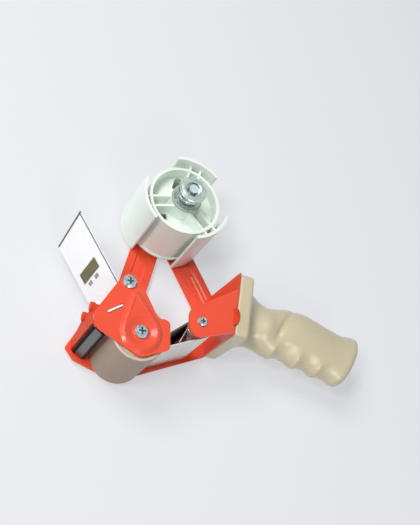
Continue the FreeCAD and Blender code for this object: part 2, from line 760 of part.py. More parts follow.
def blade_guard():
    """Cross piece between the side plates: face, two lugs, top return and two ears."""
    corners = [(FAR_IN, -GUARD_RUN, GUARD_CORNER_R), (NEAR_IN, -GUARD_RUN, GUARD_CORNER_R)]
    corners += [(NEAR_IN, -GUARD_SHY, GUARD_CORNER_R)]
    corners += [(FAR_IN + GUARD_SLOPE_FROM, -GUARD_SHY, 2 * GUARD_CORNER_R)]
    corners += [(FAR_IN, -GUARD_SHY - GUARD_SLOPE_DROP, GUARD_CORNER_R)]
    face = slab(corners, 0, GUARD_T)
    for z in LUG_AT:
        face = face.fuse(rod((FAR_IN + z, -GUARD_SHY), 0, LUG_T, LUG_R))
    up = (-GUARD_DOWN[0], -GUARD_DOWN[1], 0)
    back = guard_point(0, -GUARD_T)
    parts = [stood(face, back + (0,), (0, 0, 1), up)]
    ledge = [guard_point(GUARD_SHY, -GUARD_RETURN), guard_point(GUARD_SHY, 0)]
    ledge += [guard_point(GUARD_SHY + GUARD_T, 0), guard_point(GUARD_SHY + GUARD_T, -GUARD_RETURN)]
    parts.append(prism(ledge, FAR_IN + GUARD_SLOPE_FROM, FRAME_W - GUARD_SLOPE_FROM))
    for z, drop in ((FAR_IN, GUARD_SLOPE_DROP), (NEAR_IN - GUARD_T, 0)):
        top = GUARD_SHY + drop
        ear = [guard_point(top, 0), guard_point(GUARD_RUN, 0)]
        ear += [guard_point(GUARD_RUN, -GUARD_EAR), guard_point(top, -GUARD_EAR)]
        parts.append(prism(ear, z, GUARD_T))
    return cut(fuse(parts), blade_screw_line(GUARD_T, GUARD_EAR, BLADE_SCREW_R + FIT_GAP))


def cutting_blade():
    """Steel strip with a leg behind the guard and a toothed leg below it."""
    low_z = FAR_IN + GUARD_T + SIDE_GAP
    width = FRAME_W - 2 * (GUARD_T + SIDE_GAP)
    heading = turned((1, 0), BLADE_HEADING)
    knee = guard_point(GUARD_RUN + BLADE_BELOW, -GUARD_T)
    tip = (knee[0] + BLADE_REACH * heading[0], knee[1] + BLADE_REACH * heading[1])
    top = guard_point(GUARD_RUN - BLADE_LEG, -GUARD_T)
    blade = folded([tip, knee, top], BLADE_T, low_z, width)
    count = int(width / TOOTH_PITCH)
    pitch = width / count
    valley = BLADE_REACH - TOOTH_H
    clear = BLADE_REACH + TOOTH_H
    for i in range(count + 1):
        z = low_z + i * pitch
        notch = prism([(z, valley), (z + pitch, clear), (z - pitch, clear)], -BLADE_T, 3 * BLADE_T)
        blade = blade.cut(stood(notch, knee + (0,), (0, 0, 1), heading + (0,)))
    return cut(blade, blade_screw_line(GUARD_T, GUARD_EAR, BLADE_SCREW_R + FIT_GAP))


def blade_screws():
    """Two flat screws that hold the blade to its guard, heads behind the blade."""
    bars = blade_screw_line(0, GUARD_T + BLADE_T, BLADE_SCREW_R)
    heads = blade_screw_line(-GUARD_T - BLADE_T, BLADE_SCREW_HEAD_H, BLADE_SCREW_HEAD_R)
    return Part.Compound([bar.fuse(head) for bar, head in zip(bars, heads)])


# Levels of the tape guide
GUIDE_Z = MID_Z - GUIDE_W / 2
NEAR_EAR_Z = GUIDE_Z + GUIDE_W - NEAR_EAR_INSET - GUIDE_T
TONGUE_Z = GUIDE_Z + GUIDE_T + TONGUE_INSET
TONGUE_W = NEAR_EAR_Z - SIDE_GAP - TONGUE_Z
GUIDE_SPRING_Z = NEAR_EAR_Z + GUIDE_T + SIDE_GAP


def guide_plate():
    """Bent sheet under the tape path with two ears on the pivot pin."""
    line = [moved(PIVOT_AT, point) for point in (GUIDE_FRONT, GUIDE_MID, GUIDE_REAR)]
    parts = [folded(line, GUIDE_T, GUIDE_Z, GUIDE_W)]
    side = moved(PIVOT_AT, (-GUIDE_EAR_R, 0))
    other = moved(PIVOT_AT, (GUIDE_EAR_R, 0))
    for z in (GUIDE_Z, NEAR_EAR_Z):
        parts.append(prism([side, line[1], line[2], other], z, GUIDE_T))
        parts.append(rod(PIVOT_AT, z, GUIDE_T, GUIDE_EAR_R))
    return cut(fuse(parts), [rod(PIVOT_AT, GUIDE_Z, GUIDE_W, PIN_R + RUN_GAP)])


def brake_tongue():
    """Strap between the guide and the roller, with two eyes on the pivot pin."""
    line = [moved(PIVOT_AT, p) for p in (TONGUE_TIP, TONGUE_MID, TONGUE_ROOT, TONGUE_BACK)]
    parts = [folded(line, TONGUE_T, TONGUE_Z, TONGUE_W)]
    for z in (TONGUE_Z, TONGUE_Z + TONGUE_W - TONGUE_EYE_LEN):
        parts.append(rod(PIVOT_AT, z, TONGUE_EYE_LEN, GUIDE_EAR_R))
    return cut(fuse(parts), [rod(PIVOT_AT, TONGUE_Z, TONGUE_W, PIN_R + RUN_GAP)])


def tangent_angle(point, radius, side):
    """Where a wire leaves a circle about the origin to run straight to a point."""
    spread = math.degrees(math.acos(radius / math.hypot(point[0], point[1])))
    return math.degrees(math.atan2(point[1], point[0])) + side * spread


def guide_spring():
    """Wire wound on the pivot pin with two straight legs down to the guide."""
    start = tangent_angle(SPRING_LEG_B, GUIDE_SPRING_R, 1)
    end = tangent_angle(SPRING_LEG_A, GUIDE_SPRING_R, -1)
    sweep = FULL_TURN * GUIDE_SPRING_TURNS + end - start
    low = GUIDE_SPRING_Z + GUIDE_SPRING_WIRE / 2
    rise = GUIDE_SPRING_LEN - GUIDE_SPRING_WIRE
    points = helix_points(PIVOT_AT, low, rise, GUIDE_SPRING_R, start, sweep)
    foot_a = moved(PIVOT_AT, SPRING_LEG_A)
    foot_b = moved(PIVOT_AT, SPRING_LEG_B)
    points = [Vector(foot_b[0], foot_b[1], low)] + points
    points.append(Vector(foot_a[0], foot_a[1], low + rise))
    return bent_wire(points, GUIDE_SPRING_WIRE / 2)


def eased(t, points):
    """A smooth value between given places, level at each of them."""
    if t <= points[0][0]:
        return points[0][1]
    for (t0, v0), (t1, v1) in zip(points, points[1:]):
        if t <= t1:
            return v0 + (v1 - v0) * (1 - math.cos(math.pi * (t - t0) / (t1 - t0))) / 2
    return points[-1][1]


def grip_section(t):
    """Top, bottom and half thickness of the grip at a distance from the flange."""
    line = [(0, ROOT_TOP), (NECK_AT, NECK_TOP), (PALM_AT, PALM_TOP), (WAIST_AT, WAIST_TOP)]
    line.append((GRIP_LEN, BUTT_TOP))
    top = eased(t, line)
    flare = max(0.0, 1 - max(t, 0) / FLARE_LEN) ** 2
    groove = FINGER_DEPTH * abs(math.sin(math.pi * (t - RIDGE_AT) / FINGER_PITCH))
    hollow = RIDGE_LOW - FINGER_DEPTH
    low = RIDGE_LOW - groove if t > RIDGE_AT - FINGER_PITCH / 2 else hollow
    low += (ROOT_LOW - hollow) * flare
    half = GRIP_HALF_T + (ROOT_HALF_T - GRIP_HALF_T) * flare
    return top, -low, half


def grip_ellipse(top, bottom, half, scale, shift):
    """A closed section between two points given along and across the grip."""
    along = turned((1, 0), GRIP_LEAN)
    across = turned((0, 1), GRIP_LEAN)
    base = wall_point(WALL_RUN / 2, FLANGE_T)
    mid_t = (top[0] + bottom[0]) / 2 + shift[0]
    mid_n = (top[1] + bottom[1]) / 2 + shift[1]
    half_t = (top[0] - bottom[0]) / 2 * scale
    half_n = (top[1] - bottom[1]) / 2 * scale

    def place(t, n, z):
        x = base[0] + along[0] * t + across[0] * n
        y = base[1] + along[1] * t + across[1] * n
        return Vector(x, y, z)

    centre = place(mid_t, mid_n, MID_Z)
    major = place(mid_t + half_t, mid_n + half_n, MID_Z)
    minor = place(mid_t, mid_n, MID_Z + half * scale)
    return Part.Wire([Part.Ellipse(major, minor, centre).toShape()])


def handle_grip():
    """Flange behind the rear wall and a grip with hollows for four fingers."""
    rims = []
    spacing = FINGER_PITCH / STATIONS_PER_FINGER
    first = RIDGE_AT - FINGER_PITCH - spacing
    stations = [-GRIP_SINK, first / 2] + [first + spacing * i for i in range(STATIONS)]
    stations = [t for t in stations if t < GRIP_LEN - BUTT_SLANT]
    for t in stations:
        top, low, half = grip_section(t)
        rims.append(grip_ellipse((t, top), (t, low), half, 1.0, (0.0, 0.0)))
    top, low, half = grip_section(GRIP_LEN)
    ends = ((GRIP_LEN + BUTT_SLANT / 2, top), (GRIP_LEN - BUTT_SLANT / 2, low))
    run = math.hypot(BUTT_SLANT, top - low)
    for u in (0.0,) + BUTT_STATIONS:
        scale = (1 - u ** BUTT_POWER) ** (1 / BUTT_POWER)
        shift = (BUTT_DOME * u * (top - low) / run, -BUTT_DOME * u * BUTT_SLANT / run)
        rims.append(grip_ellipse(ends[0], ends[1], half, scale, shift))
    grip = Part.makeLoft(rims, True, RULED)
    corners = [(0, 0), (NEAR_OUT, WALL_SLANT), (NEAR_OUT, WALL_RUN + FLANGE_DROP), (0, WALL_RUN - FLANGE_DROP)]
    flange = slab([corner + (FLANGE_CORNER_R,) for corner in corners], 0, FLANGE_T)
    flange = flange.makeChamfer(FLANGE_EDGE, [e for e in flange.Edges if e.BoundBox.ZMin > FLANGE_T - TINY])
    body = fuse([stood_on_wall(flange), grip])
    holes = [across_wall(d, z, 0, WALL_SCREW_LEN, SCREW_R + FIT_GAP) for d, z in wall_screw_places()]
    return cut(body, holes)


def handle_screws():
    """Four screws through the rear wall, heads between the plates."""
    screws = []
    for down, z in wall_screw_places():
        screw = pan_screw((0, 0), 0, 1, PLATE_T + WALL_SCREW_LEN - 1, SMALL_PAN_R, SMALL_PAN_H, SCREW_R)
        x, y = wall_point(down, -PLATE_T)
        screws.append(stood(screw, (x, y, z), (0, 0, 1), (-OUT[1], OUT[0], 0)))
    return Part.Compound(screws)


os.makedirs("parts", exist_ok=True)

# Frame
save("side_frame", side_frame())
save("front_side_plate", front_side_plate())
save("blade_guard", blade_guard())
save("spacer_post", drilled_bar(POST_AT, POST_R))
save("post_screws", end_screws(POST_AT, PAN_R, PAN_H, NEAR_OUT))

# Cutter and wiper
save("cutting_blade", cutting_blade())
save("blade_screws", blade_screws())
save("wiper_flap", wiper_flap())

# Hub and its friction pack
save("hub_drum", hub_drum())
save("hub_bush", hub_bush())
save("hub_axle", hub_axle())
save("lock_nut", lock_nut())
save("fibre_washer", washer(FIBRE_Z, FIBRE_T, FIBRE_R))
save("steel_washer", washer(WASHER_Z, WASHER_T, WASHER_R))
save("tension_spring", coil(HUB_AT, SPRING_Z, SPRING_LEN, SPRING_R, SPRING_WIRE, SPRING_TURNS))
save("tension_nut", tension_nut())

# Roller
save("roller_sleeve", roller_sleeve())
save("roller_core", roller_core())
save("roller_bushes", roller_bushes())
save("roller_axle", drilled_bar(ROLLER_AT, ROLLER_AXLE_R))
save("axle_screws", end_screws(ROLLER_AT, PAN_R, PAN_H, NEAR_OUT))

# Tape guide
save("pivot_pin", drilled_bar(PIVOT_AT, PIN_R))
save("pivot_screws", end_screws(PIVOT_AT, SMALL_PAN_R, SMALL_PAN_H, NEAR_OUT))
save("guide_plate", guide_plate())
save("brake_tongue", brake_tongue())
save("guide_spring", guide_spring())

# Handle
save("handle_grip", handle_grip())
save("handle_screws", handle_screws())
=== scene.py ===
# %% [markdown]
# # Packing tape dispenser
# A hand-held dispenser lies on its side plate. The metal, the hub and the roller come from the CAD model, so
# this lesson is about what CAD leaves out: the finishes, the moulded grip, the edges of the flap and the small
# turned and pressed details. It starts by loading the frame that every piece has to fit.

# %% Load the frame
import math

import bmesh
import bpy
from mathutils import Matrix, Vector
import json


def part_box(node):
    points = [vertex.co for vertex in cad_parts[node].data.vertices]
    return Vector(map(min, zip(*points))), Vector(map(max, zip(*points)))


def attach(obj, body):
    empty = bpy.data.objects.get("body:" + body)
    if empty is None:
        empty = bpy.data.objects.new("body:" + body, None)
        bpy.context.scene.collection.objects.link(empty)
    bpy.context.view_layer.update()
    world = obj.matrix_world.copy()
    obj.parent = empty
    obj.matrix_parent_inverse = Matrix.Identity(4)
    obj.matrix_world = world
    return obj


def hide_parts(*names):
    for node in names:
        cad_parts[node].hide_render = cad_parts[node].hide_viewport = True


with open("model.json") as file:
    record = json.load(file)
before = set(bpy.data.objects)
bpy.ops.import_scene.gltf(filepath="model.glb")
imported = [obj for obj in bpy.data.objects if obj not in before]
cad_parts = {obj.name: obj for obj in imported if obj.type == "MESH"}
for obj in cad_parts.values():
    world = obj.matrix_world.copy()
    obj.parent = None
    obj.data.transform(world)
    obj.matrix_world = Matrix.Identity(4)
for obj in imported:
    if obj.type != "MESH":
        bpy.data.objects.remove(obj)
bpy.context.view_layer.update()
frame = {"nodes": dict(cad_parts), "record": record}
nodes = frame["nodes"]

# %% [markdown]
# Sizes are written in millimetres, as on a drawing, and turned into metres once. Colours are written as they
# look on the object, from 0 to 255, and a small helper turns them into the linear values that shaders use.

# %% Units and colours
MM = 0.001


def mm(*values):
    return Vector([v * MM for v in values])


def seen(r, g, b):
    linear = []
    for value in (r, g, b):
        v = value / 255
        linear.append(v / 12.92 if v <= 0.04045 else ((v + 0.055) / 1.055) ** 2.4)
    return (*linear, 1.0)


print("a grey of 188 is", round(seen(188, 188, 188)[0], 2), "to a shader")

# %% [markdown]
# ## Camera
# The photograph looks down on the loading side, and the dispenser is turned in the picture. A camera that only
# tilts can't show that, so its three axes are worked out from how the hub axis lies in the picture: 36 degrees
# off the line of sight, and halfway between right and up.

# %% Camera at the photograph's angle
hub_tilt = math.radians(35.86)
hub_heading = math.radians(45.0)
look_at = mm(44.3, -26.2, 10.5)
distance = 700.0
picture_h, focal_px, sensor_h = 525, 795.3, 36.0

hub_in_view = Vector((math.sin(hub_tilt) * math.cos(hub_heading),
                      math.sin(hub_tilt) * math.sin(hub_heading), math.cos(hub_tilt)))
handle_in_view = (Vector((1, 0, 0)) - hub_in_view.x * hub_in_view).normalized()
front_in_view = hub_in_view.cross(handle_in_view)
turn = Matrix((handle_in_view, front_in_view, hub_in_view))

camera = bpy.data.objects.new("camera", bpy.data.cameras.new("camera"))
bpy.context.scene.collection.objects.link(camera)
place = turn.to_4x4()
place.translation = look_at + turn @ Vector((0, 0, distance * MM))
camera.matrix_world = place
camera.data.sensor_fit = "VERTICAL"
camera.data.sensor_height = sensor_h
camera.data.lens = focal_px * sensor_h / picture_h
camera.data.clip_start = 0.01
bpy.context.scene.camera = camera
print("camera at", [round(v, 3) for v in place.translation], "lens", round(camera.data.lens, 1))

# %% [markdown]
# ## Floor and light
# The dispenser lies on a plain pale floor, as on a product table. One big square is enough, because its edge
# lies far outside the picture.

# %% Floor
scene = bpy.context.scene
scene.view_settings.view_transform = "Standard"
floor_half = 3.0

floor_mesh = bmesh.new()
bmesh.ops.create_grid(floor_mesh, x_segments=1, y_segments=1, size=floor_half)
floor_data = bpy.data.meshes.new("floor")
floor_mesh.to_mesh(floor_data)
floor_mesh.free()
floor = bpy.data.objects.new("floor", floor_data)
scene.collection.objects.link(floor)
print("floor", 2 * floor_half, "m wide")

# %% [markdown]
# The eye, gloss and glass should meet one even pale tone all round, while the light that falls on the object
# stays plain. More light would do that and spoil the colours, so the Light Path node tells the rays apart. A
# helper adds up those three kinds of ray and mixes the even tone in by that share. The floor takes only part of
# the tone, so that it keeps the object's shadow.

# %% Even tone of the floor


def mix_seen(tree, lit, shown, amount, surface):
    ray = tree.nodes.new("ShaderNodeLightPath")
    share = ray.outputs["Is Camera Ray"]
    for kind in ("Is Glossy Ray", "Is Transmission Ray"):
        add = tree.nodes.new("ShaderNodeMath")
        add.use_clamp = True
        tree.links.new(share, add.inputs[0])
        tree.links.new(ray.outputs[kind], add.inputs[1])
        share = add.outputs[0]
    times = tree.nodes.new("ShaderNodeMath")
    times.operation = "MULTIPLY"
    times.inputs[1].default_value = amount
    tree.links.new(share, times.inputs[0])
    mix = tree.nodes.new("ShaderNodeMixShader")
    tree.links.new(times.outputs[0], mix.inputs[0])
    tree.links.new(lit.outputs[0], mix.inputs[1])
    tree.links.new(shown.outputs[0], mix.inputs[2])
    tree.links.new(mix.outputs[0], surface)


pale_tone = seen(232, 233, 237)
floor_paper = bpy.data.materials.new("floor_paper")
floor_paper.use_nodes = True
paper_nodes = floor_paper.node_tree.nodes
paper = paper_nodes["Principled BSDF"]
paper.inputs["Base Color"].default_value = seen(233, 235, 239)
paper.inputs["Roughness"].default_value = 0.9
paper.inputs["Specular IOR Level"].default_value = 0.1
even_tone = paper_nodes.new("ShaderNodeEmission")
even_tone.inputs["Color"].default_value = pale_tone
floor_share = 0.6
mix_seen(floor_paper.node_tree, paper, even_tone, floor_share, paper_nodes["Material Output"].inputs["Surface"])
floor_data.materials.append(floor_paper)
print("floor paper has", len(paper_nodes), "nodes")

# %% World
world = bpy.data.worlds.new("pale_room")
scene.world = world
world.use_nodes = True
room_nodes = world.node_tree.nodes
sky = room_nodes["Background"]
sky.inputs["Color"].default_value = seen(236, 238, 242)
sky.inputs["Strength"].default_value = 0.24
air = room_nodes.new("ShaderNodeBackground")
air.inputs["Color"].default_value = pale_tone
mix_seen(world.node_tree, sky, air, 1.0, room_nodes["World Output"].inputs["Surface"])
print("the world lights the object at", round(sky.inputs["Strength"].default_value, 2))

# %% [markdown]
# Three round soft lamps do the rest. A broad key lamp stands high between the flap and the hub and gives the
# shape, a smaller one on the flap's side makes the long highlights, and a weak one on the roller's side opens the
# shadows. They are no stronger than a colour needs to look about as it is written.

# %% Lamps


def soft_lamp(name, place, aim, size, power):
    lamp = bpy.data.lights.new(name, "AREA")
    lamp.shape = "DISK"
    lamp.size = size
    lamp.energy = power
    holder = bpy.data.objects.new(name, lamp)
    scene.collection.objects.link(holder)
    holder.location = place
    holder.rotation_euler = (Vector(place) - Vector(aim)).to_track_quat("Z", "Y").to_euler()


middle = mm(40, -55, 30)
soft_lamp("key_lamp", (-0.75, 0.4, 1.3), middle, 0.7, 13.0)
soft_lamp("front_lamp", (-0.94, -0.32, 1.28), middle, 0.32, 9.5)
soft_lamp("side_lamp", (0.13, -1.28, 0.98), middle, 0.5, 4.0)

# %% [markdown]
# ## A finish with some life in it
# Paint, plastic and plated metal all differ a little from place to place. One helper lays that down: a broad
# noise shifts the colour and the roughness, and a finer one gives the surface its tiny relief. Each finish of
# the dispenser then only says how much. The broad noise is counted in patches on a tenth of a metre.

# %% Helper for finishes
patch_span = 0.1
rough_swing = 0.08


def noise_on(tree, vector, scale, detail):
    noise = tree.nodes.new("ShaderNodeTexNoise")
    noise.inputs["Scale"].default_value = scale
    noise.inputs["Detail"].default_value = detail
    tree.links.new(vector, noise.inputs["Vector"])
    return noise.outputs["Fac"]


def finish_of(name, colour, rough, metal=0.0, patch=6.0, shade=0.06, grain=900.0, relief=0.05, coat=0.0,
              stretch=(1, 1, 1), specular=0.5, coat_rough=0.12):
    material = bpy.data.materials.new(name)
    material.use_nodes = True
    tree = material.node_tree
    link = tree.links.new
    shader = tree.nodes["Principled BSDF"]
    shader.inputs["Metallic"].default_value = metal
    shader.inputs["Coat Weight"].default_value = coat
    shader.inputs["Coat Roughness"].default_value = coat_rough
    shader.inputs["Specular IOR Level"].default_value = specular

    where = tree.nodes.new("ShaderNodeTexCoord")
    stretched = tree.nodes.new("ShaderNodeMapping")
    stretched.inputs["Scale"].default_value = stretch
    link(where.outputs["Object"], stretched.inputs["Vector"])
    broad = noise_on(tree, stretched.outputs["Vector"], patch / patch_span, 5.0)
    fine = noise_on(tree, stretched.outputs["Vector"], grain, 3.0)

    # Colour from the broad noise, between a darker and a lighter tone
    tones = tree.nodes.new("ShaderNodeValToRGB")
    dark, light = tones.color_ramp.elements
    dark.position, light.position = 0.3, 0.7
    dark.color = (*[c * (1 - shade) for c in colour[:3]], 1)
    light.color = (*[min(1.0, c * (1 + shade)) for c in colour[:3]], 1)
    link(broad, tones.inputs["Fac"])
    link(tones.outputs["Color"], shader.inputs["Base Color"])

    # Roughness from the same noise, so that a dull patch is also a darker or lighter one
    swing = tree.nodes.new("ShaderNodeMapRange")
    swing.inputs["To Min"].default_value = max(0.02, rough - rough_swing)
    swing.inputs["To Max"].default_value = min(1.0, rough + rough_swing)
    link(broad, swing.inputs["Value"])
    link(swing.outputs["Result"], shader.inputs["Roughness"])

    # Relief from the fine noise
    bump = tree.nodes.new("ShaderNodeBump")
    bump.inputs["Strength"].default_value = relief
    bump.inputs["Distance"].default_value = 0.2 * MM
    link(fine, bump.inputs["Height"])
    link(bump.outputs["Normal"], shader.inputs["Normal"])
    return material


print("6 patches on", patch_span, "m make one every", round(patch_span / 6 / MM), "mm")

# %% [markdown]
# The frame is pressed steel in a thick glossy enamel: a clear coat over red, with the faint orange-peel of
# sprayed paint. On the guard of the blade and on its screws the same red is rubbed dull. The hub is white moulded
# plastic with a soft shine, and the grip a warmer, slightly mottled beige under a clear skin.

# %% Paint and plastics
red_enamel = finish_of("red_enamel", seen(236, 82, 54), 0.24, patch=3, shade=0.05, grain=420, relief=0.1,
                       coat=0.15, specular=0.3)
scuffed_enamel = finish_of("scuffed_enamel", seen(216, 72, 43), 0.5, patch=9, shade=0.1, grain=520, relief=0.2,
                           specular=0.06)
dull_screw = finish_of("dull_screw", seen(128, 52, 40), 0.5, shade=0.2, specular=0.2)
hub_plastic = finish_of("hub_plastic", seen(236, 245, 236), 0.34, patch=4, shade=0.025, grain=1500)
grip_plastic = finish_of("grip_plastic", seen(203, 191, 158), 0.3, patch=3, shade=0.04, grain=1300, coat=0.6,
                         coat_rough=0.3)
core_plastic = finish_of("core_plastic", seen(204, 190, 170), 0.45, shade=0.04)
nylon = finish_of("nylon", seen(226, 226, 218), 0.5, shade=0.03)
black_strap = finish_of("black_strap", seen(80, 80, 72), 0.42, shade=0.2, relief=0.2)
fibre_board = finish_of("fibre_board", seen(176, 184, 174), 0.8, shade=0.2, grain=1800, relief=0.5)
print("materials so far", len(bpy.data.materials))

# %% [markdown]
# The roller wears a ground rubber sleeve. Grinding leaves very fine rings round it, so the noise of this finish
# is squeezed along the roller's axis and stretched round it. The rolled steel of the blade and of the guide has
# its grain the other way, along the strip. Zinc plating has a crystal pattern, with large patches on the screws.

# %% Rubber, sheet and metals
roller_rubber = finish_of("roller_rubber", seen(162, 140, 122), 0.5, shade=0.07, grain=700, relief=0.25,
                          stretch=(0.15, 0.15, 3.0))
flap_sheet = finish_of("flap_sheet", seen(252, 252, 252), 0.26, patch=2, shade=0.02, grain=300, relief=0.03,
                       coat=0.3)
zinc_plate = finish_of("zinc_plate", seen(184, 192, 195), 0.24, metal=1.0, patch=32, shade=0.3, grain=1100,
                       relief=0.3)
washer_steel = finish_of("washer_steel", seen(190, 204, 197), 0.28, metal=0.8, patch=20, shade=0.12)
bolt_steel = finish_of("bolt_steel", seen(214, 230, 228), 0.3, metal=0.7, patch=24, shade=0.12)
screw_zinc = finish_of("screw_zinc", seen(186, 199, 201), 0.22, metal=1.0, patch=42, shade=0.5, grain=520,
                       relief=0.5)
nut_steel = finish_of("nut_steel", seen(192, 208, 200), 0.3, metal=1.0, patch=22, shade=0.16, grain=1400,
                      relief=0.2)
spring_wire = finish_of("spring_wire", seen(190, 194, 198), 0.2, metal=1.0, shade=0.08)
blade_steel = finish_of("blade_steel", seen(112, 116, 113), 0.3, metal=1.0, shade=0.08, relief=0.3,
                        stretch=(6, 6, 0.4))
guide_steel = finish_of("guide_steel", seen(222, 224, 218), 0.26, metal=0.9, grain=800, relief=0.15,
                        stretch=(4, 4, 0.4))
print("materials so far", len(bpy.data.materials))

# %% [markdown]
# Every CAD node names a material slot, and the slot picks its finish. Screws are an exception, and so are a few
# nodes that share a slot with others but look different on the real object.

# %% Finishes on the CAD nodes
finishes = {
    "red_paint": red_enamel, "hub_white": hub_plastic, "grip_beige": grip_plastic, "roller_taupe": roller_rubber,
    "core_cream": core_plastic, "zinc": zinc_plate, "blade_steel": blade_steel, "flap_white": flap_sheet,
    "guide_steel": guide_steel, "strap_black": black_strap, "fibre": fibre_board, "nylon": nylon,
}
own_finish = {
    "blade_guard": scuffed_enamel, "blade_screws": dull_screw, "tension_nut": nut_steel, "hub_axle": bolt_steel,
    "steel_washer": washer_steel, "tension_spring": spring_wire, "guide_spring": spring_wire,
}

for part in frame["record"]["subparts"]:
    node = nodes[part["node"]]
    usual = screw_zinc if part["node"].endswith("screws") else finishes[part["material_slot"]]
    chosen = own_finish.get(part["node"], usual)
    for material_slot in node.material_slots:
        material_slot.material = chosen
print("finished nodes", len(nodes))

# %% [markdown]
# ## A helper that turns a bmesh into a piece
# Every new piece ends the same way: its mesh gets a name, a finish and a CAD body to ride on. The normals are
# recalculated here once, so that a spun or mirrored shape can't end up inside out.

# %% Helper for pieces


def piece_from(shape, name, finish, body, smooth=True):
    bmesh.ops.remove_doubles(shape, verts=shape.verts, dist=1e-7)
    bmesh.ops.recalc_face_normals(shape, faces=shape.faces)
    mesh = bpy.data.meshes.new(name)
    shape.to_mesh(mesh)
    shape.free()
    for face in mesh.polygons:
        face.use_smooth = smooth
    mesh.materials.append(finish)
    piece = bpy.data.objects.new(name, mesh)
    scene.collection.objects.link(piece)
    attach(piece, body)
    print("piece", name, "on", body, "has", len(mesh.polygons), "faces")
    return piece


# %% [markdown]
# ## The moulded grip
# The grip is the most sculpted thing on the dispenser. A neck grows out of a flange, swells into a palm, and its
# lower side has hollows for the fingers. A loft through plain ellipses gives the length and the outline, but not
# how the hollows fade out half way up the sides, nor the soft crease where the palm begins. So it is drawn as
# one ring of points that is extruded along the grip, station by station, and each point asks a few small
# functions where it lies. Two of them are general: one runs smoothly through given places, one is a soft step.

# %% Soft curves


def eased(t, places):
    for (t0, v0), (t1, v1) in zip(places, places[1:]):
        if t <= t1:
            share = (max(t, t0) - t0) / (t1 - t0)
            return v0 + (v1 - v0) * (1 - math.cos(math.pi * share)) / 2
    return places[-1][1]


def ramp(value, low, high):
    share = min(1.0, max(0.0, (value - low) / (high - low)))
    return share * share * (3 - 2 * share)


print("a quarter of the way from 0 to 10:", round(eased(2.5, [(0, 0), (10, 10)]), 2), round(ramp(2.5, 0, 10), 2))

# %% [markdown]
# The grip stands on the rear wall of the frame, and leans from it. From here on t runs along the grip, n across
# it towards the back of the hand, and z is the height above the floor, all in millimetres.

# %% Outline of the grip
wall_top = Vector((49.0, -56.5))
wall_bottom = Vector((41.5, -113.0))
wall_run = (wall_bottom - wall_top).length
wall_down = (wall_bottom - wall_top).normalized()
wall_out = Vector((-wall_down.y, wall_down.x))
flange_t = 12.4

grip_lean = math.radians(-14.0)
grip_along = Vector((math.cos(grip_lean), math.sin(grip_lean)))
grip_across = Vector((-math.sin(grip_lean), math.cos(grip_lean)))
grip_base = wall_top + wall_down * wall_run / 2 + wall_out * flange_t
grip_len, grip_mid_z, grip_half = 103.0, 34.0, 15.6

back_line = [(0, 26.0), (21, 19.4), (48, 27.2), (91, 23.4), (103, 26.0)]
ridge_low, ridge_out, ridge_at = 22.8, 1.6, 35.5
root_low, root_half, flare_len = 25.0, 24.0, 16.0
print("grip starts at", [round(v, 1) for v in grip_base], "and is", grip_len, "mm long")

# %% [markdown]
# A finger hollow is deepest a little before half way from one ridge to the next, because the fingers wrap round
# at a slant. The first one, on the neck, is shallower than the rest, and the last one fades out at the butt.

# %% How deep the finger hollows are
first_from, first_depth, first_skew, first_sharp = 4.0, 2.3, 0.85, 1.3
finger_pitch, finger_depth, finger_skew = 22.8, 3.3, 0.8
slim_from, slim_to, slim_share = 50.0, 100.0, 0.35
fade_from, fade_to = 97.0, 104.0


def hollow_depth(t):
    if t < ridge_at:
        first = min(1.0, max(0.0, (t - first_from) / (ridge_at - first_from)))
        return first_depth * math.sin(math.pi * first ** first_skew) ** first_sharp
    skewed = (((t - ridge_at) / finger_pitch) % 1.0) ** finger_skew
    fade = 1 - ramp(t, fade_from, fade_to)
    shallower = 1 - slim_share * ramp(t, slim_from, slim_to)
    return finger_depth * math.sin(math.pi * skewed) * fade * shallower


print("hollow of the middle finger", round(hollow_depth(ridge_at + 10), 2), "mm deep")

# %% [markdown]
# The palm starts behind a crease that runs from the back of the grip down and forwards. The crease is a shallow
# groove, and behind it the sides rise by two and a half millimetres, and sink again towards the butt. Before it
# the neck has one low round swelling on each side, where the light makes a spot.

# %% How far the palm and the neck stand out
crease_at, crease_run, crease_low, crease_span, crease_bow = 34.0, 11.5, -12.0, 34.5, 1.6
crease_mid, crease_wide, crease_deep = -0.5, 2.2, 2.4
palm_out, palm_rise, palm_sink = 2.5, 13.0, 0.75
palm_low, palm_full = -16.0, -3.0
sink_from, sink_to = 58.0, 100.0
neck_out, neck_t, neck_n, neck_long, neck_tall = 3.2, 23.5, -3.0, 6.5, 11.0


def palm_swell(t, n):
    crease = crease_at + crease_run * (max(n - crease_low, 0.0) / crease_span) ** crease_bow
    beyond = t - crease
    groove = crease_deep * math.exp(-((beyond - crease_mid) / crease_wide) ** 2)
    rise = palm_out * ramp(beyond, crease_mid, palm_rise) - groove
    height = ramp(n, palm_low, palm_full)
    neck = neck_out * math.exp(-((t - neck_t) / neck_long) ** 2 - ((n - neck_n) / neck_tall) ** 2)
    return rise * height * (1 - ramp(t, sink_from, sink_to) * palm_sink) + neck


print("palm stands out", round(palm_swell(50, 10), 2), "mm and the neck", round(palm_swell(neck_t, neck_n), 2))

# %% [markdown]
# A point of the ring starts on an ellipse, whose size follows the outline. The two functions then push it out or
# in: the hollows only on the lower side, the palm mostly on the flanks. Last, the stations near the butt slant,
# because the butt is cut at a slant too.

# %% Where a point of the ring lies
belly_from, belly_to = 0.4, 0.95
flank_power, flank_share = 0.7, 0.85
slant_most, slant_from, slant_mid = 9.5, 60.0, 3.0


def grip_place(t, n, z):
    flat = grip_base + grip_along * t + grip_across * n
    return mm(flat.x, flat.y, z)


def ring_size(t):
    flare = max(0.0, 1 - max(t, 0.0) / flare_len) ** 2
    top = eased(t, back_line)
    low = ridge_low - ridge_out + (root_low - ridge_low + ridge_out) * flare
    return top, -low, grip_half + (root_half - grip_half) * flare


